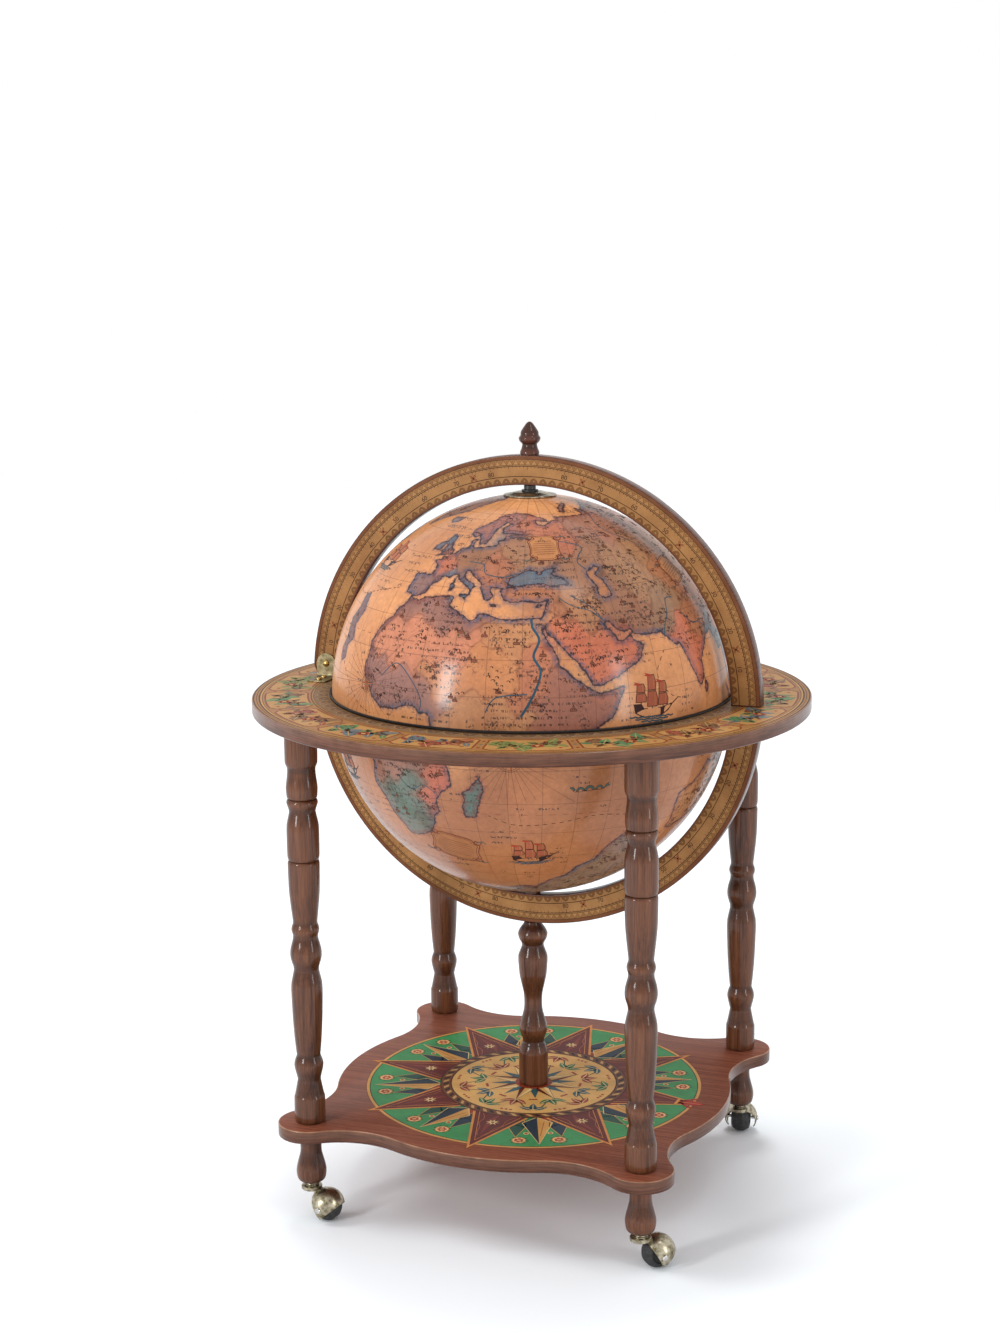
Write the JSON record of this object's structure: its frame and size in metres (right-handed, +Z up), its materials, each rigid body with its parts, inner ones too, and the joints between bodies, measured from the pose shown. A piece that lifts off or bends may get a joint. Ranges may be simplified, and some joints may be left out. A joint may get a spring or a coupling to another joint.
{
  "type": "globe bar",
  "caption": "Terrestrial globe drinks cabinet on turned wooden legs with a round shelf and casters; the upper half lifts with the meridian arch to reach bottles and glasses.",
  "frame": {"origin": "on the floor under the globe's axis", "axes": "+Z up along the globe's axis, +X along the meridian arch from its hinge to its free foot, -Y the front"},
  "size_m": [0.7, 0.7, 0.9847],
  "materials": {
    "walnut_stain": "satin varnish over a red walnut stain",
    "printed_band": "printed paper on wood under satin varnish",
    "map_paper": "printed map paper on a hollow shell under satin varnish",
    "pale_wood": "clear satin varnish",
    "brass": "antique satin brass",
    "zinc_plated_steel": "bright zinc plating",
    "black_plastic": "moulded satin",
    "grey_rubber": "dark grey ribbed tread",
    "black_cord": "twisted cord"
  },
  "bodies": {
    "stand": {"base_board": "walnut_stain", "foot_front_left": "walnut_stain", "foot_front_right": "walnut_stain", "foot_back_right": "walnut_stain", "foot_back_left": "walnut_stain", "leg_lower_front_left": "walnut_stain", "leg_lower_front_right": "walnut_stain", "leg_lower_back_right": "walnut_stain", "leg_lower_back_left": "walnut_stain", "leg_middle_front_left": "walnut_stain", "leg_middle_front_right": "walnut_stain", "leg_middle_back_right": "walnut_stain", "leg_middle_back_left": "walnut_stain", "leg_upper_front_left": "walnut_stain", "leg_upper_front_right": "walnut_stain", "leg_upper_back_right": "walnut_stain", "leg_upper_back_left": "walnut_stain", "centre_column": "walnut_stain", "column_screw": "zinc_plated_steel", "horizon_ring": "printed_band", "lower_meridian": "printed_band", "lower_hemisphere": "map_paper", "south_spacer": "walnut_stain", "south_pole_bolt": "zinc_plated_steel", "bottle_tray": "pale_wood", "bottle_floor": "pale_wood", "hinge_bracket_front": "brass", "hinge_bracket_back": "brass", "hinge_screw_front_1": "brass", "hinge_screw_front_2": "brass", "hinge_screw_back_1": "brass", "hinge_screw_back_2": "brass", "hinge_bolt": "brass", "hinge_nut": "brass", "caster_stem_front_left": "zinc_plated_steel", "caster_stem_front_right": "zinc_plated_steel", "caster_stem_back_right": "zinc_plated_steel", "caster_stem_back_left": "zinc_plated_steel"},
    "lid": {"upper_meridian": "printed_band", "finial": "walnut_stain", "pole_rod": "zinc_plated_steel", "pole_bush": "black_plastic", "pole_washer": "black_plastic", "pole_nut": "zinc_plated_steel"},
    "upper_globe": {"upper_hemisphere": "map_paper", "pole_cap": "brass", "rim_trim": "black_cord"},
    "caster_front_left": {"caster_hood_front_left": "brass", "caster_axle_front_left": "zinc_plated_steel"},
    "wheel_front_left": {"caster_wheel_front_left": "grey_rubber"},
    "caster_front_right": {"caster_hood_front_right": "brass", "caster_axle_front_right": "zinc_plated_steel"},
    "wheel_front_right": {"caster_wheel_front_right": "grey_rubber"},
    "caster_back_right": {"caster_hood_back_right": "brass", "caster_axle_back_right": "zinc_plated_steel"},
    "wheel_back_right": {"caster_wheel_back_right": "grey_rubber"},
    "caster_back_left": {"caster_hood_back_left": "brass", "caster_axle_back_left": "zinc_plated_steel"},
    "wheel_back_left": {"caster_wheel_back_left": "grey_rubber"}
  },
  "joints": [
    {"name": "lid_hinge", "type": "hinge", "parent": "stand", "child": "lid", "pos_m": [-0.27969, 0, 0.6663], "axis": [0, -1, 0], "range_deg": [0, 90]},
    {"name": "upper_globe_spin", "type": "hinge", "parent": "lid", "child": "upper_globe", "pos_m": [0, 0, 0.9], "axis": [0, 0, 1], "continuous": true},
    {"name": "caster_swivel_front_left", "type": "hinge", "parent": "stand", "child": "caster_front_left", "pos_m": [-0.2165, -0.2165, 0.04], "axis": [0, 0, 1], "continuous": true},
    {"name": "wheel_spin_front_left", "type": "hinge", "parent": "caster_front_left", "child": "wheel_front_left", "pos_m": [-0.19466, -0.21918, 0.0192], "axis": [0.1219, 0.9925, 0], "continuous": true},
    {"name": "caster_swivel_front_right", "type": "hinge", "parent": "stand", "child": "caster_front_right", "pos_m": [0.2165, -0.2165, 0.04], "axis": [0, 0, 1], "continuous": true},
    {"name": "wheel_spin_front_right", "type": "hinge", "parent": "caster_front_right", "child": "wheel_front_right", "pos_m": [0.23259, -0.2015, 0.0192], "axis": [-0.682, 0.7314, 0], "continuous": true},
    {"name": "caster_swivel_back_right", "type": "hinge", "parent": "stand", "child": "caster_back_right", "pos_m": [0.2165, 0.2165, 0.04], "axis": [0, 0, 1], "continuous": true},
    {"name": "wheel_spin_back_right", "type": "hinge", "parent": "caster_back_right", "child": "wheel_back_right", "pos_m": [0.21306, 0.23823, 0.0192], "axis": [-0.9877, -0.1564, 0], "continuous": true},
    {"name": "caster_swivel_back_left", "type": "hinge", "parent": "stand", "child": "caster_back_left", "pos_m": [-0.2165, 0.2165, 0.04], "axis": [0, 0, 1], "continuous": true},
    {"name": "wheel_spin_back_left", "type": "hinge", "parent": "caster_back_left", "child": "wheel_back_left", "pos_m": [-0.2366, 0.22545, 0.0192], "axis": [-0.4067, -0.9135, 0], "continuous": true}
  ]
}
